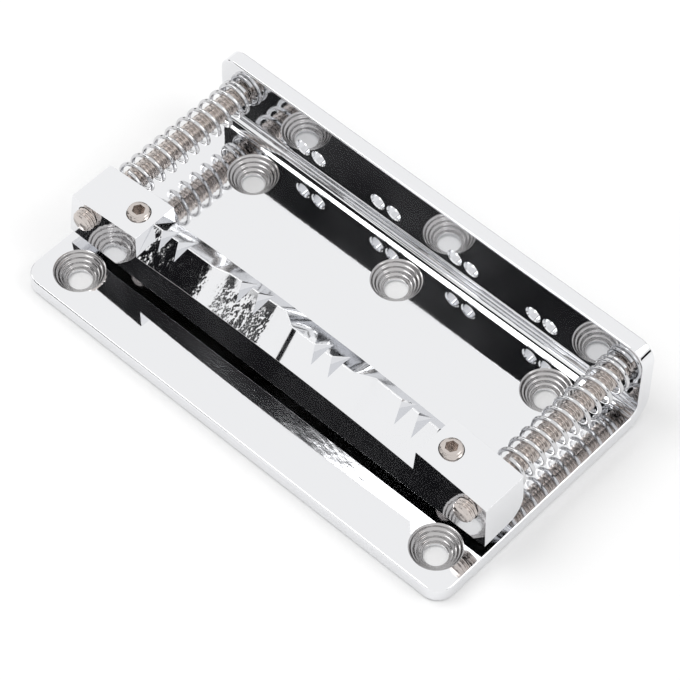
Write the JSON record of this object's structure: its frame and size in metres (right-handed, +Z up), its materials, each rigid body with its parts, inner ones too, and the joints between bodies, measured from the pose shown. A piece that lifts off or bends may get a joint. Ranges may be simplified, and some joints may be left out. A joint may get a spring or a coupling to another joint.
{
  "type": "mandolin bridge",
  "caption": "Adjustable metal mandolin bridge with a bent base plate, arched saddle bar, sprung intonation screws and height screws",
  "frame": {"origin": "middle of the base plate's underside", "axes": "+X along the saddle to the right of the front, +Y to the upright wall that anchors the strings, +Z up to the strings"},
  "size_m": [0.07, 0.0403, 0.0134],
  "materials": {
    "plate_chrome": "mirror chrome plate on bent sheet",
    "saddle_chrome": "chrome plate on a casting with a slightly rippled front face",
    "nickel": "satin nickel plated steel",
    "spring_steel": "bright drawn spring wire"
  },
  "bodies": {
    "base": {"base_plate": "plate_chrome"},
    "rocker": {"spring_left": "spring_steel", "spring_right": "spring_steel"},
    "saddle": {"saddle_bar": "saddle_chrome"},
    "screw_left": {"intonation_screw_left": "nickel"},
    "screw_right": {"intonation_screw_right": "nickel"},
    "foot_left": {"height_screw_left": "nickel"},
    "foot_right": {"height_screw_right": "nickel"}
  },
  "joints": [
    {"name": "string_height", "type": "hinge", "parent": "base", "child": "rocker", "pos_m": [0, 0.01805, 0.0084], "axis": [-1, 0, 0], "range_deg": [-2.4, 3.5]},
    {"name": "saddle_travel", "type": "slide", "parent": "rocker", "child": "saddle", "axis": [0, 1, 0], "range_m": [-0.0015, 0.005], "deforming": ["spring_left", "spring_right"]},
    {"name": "intonation_left", "type": "hinge", "parent": "rocker", "child": "screw_left", "pos_m": [-0.0315, 0.01945, 0.0084], "axis": [0, -1, 0], "range_deg": [-1260, 3780]},
    {"name": "intonation_right", "type": "hinge", "parent": "rocker", "child": "screw_right", "pos_m": [0.0315, 0.01945, 0.0084], "axis": [0, -1, 0], "range_deg": [-1260, 3780]},
    {"name": "foot_left_travel", "type": "slide", "parent": "saddle", "child": "foot_left", "axis": [0, 0, 1], "range_m": [-0.0015, 0.0011]},
    {"name": "foot_right_travel", "type": "slide", "parent": "saddle", "child": "foot_right", "axis": [0, 0, 1], "range_m": [-0.0015, 0.0011]}
  ],
  "couplings": [
    {"joint": "intonation_left", "follows": "saddle_travel", "rad_per_m": 12566},
    {"joint": "intonation_right", "follows": "saddle_travel", "rad_per_m": 12566},
    {"joint": "foot_left_travel", "follows": "string_height", "m_per_rad": -0.02345},
    {"joint": "foot_right_travel", "follows": "string_height", "m_per_rad": -0.02345}
  ]
}
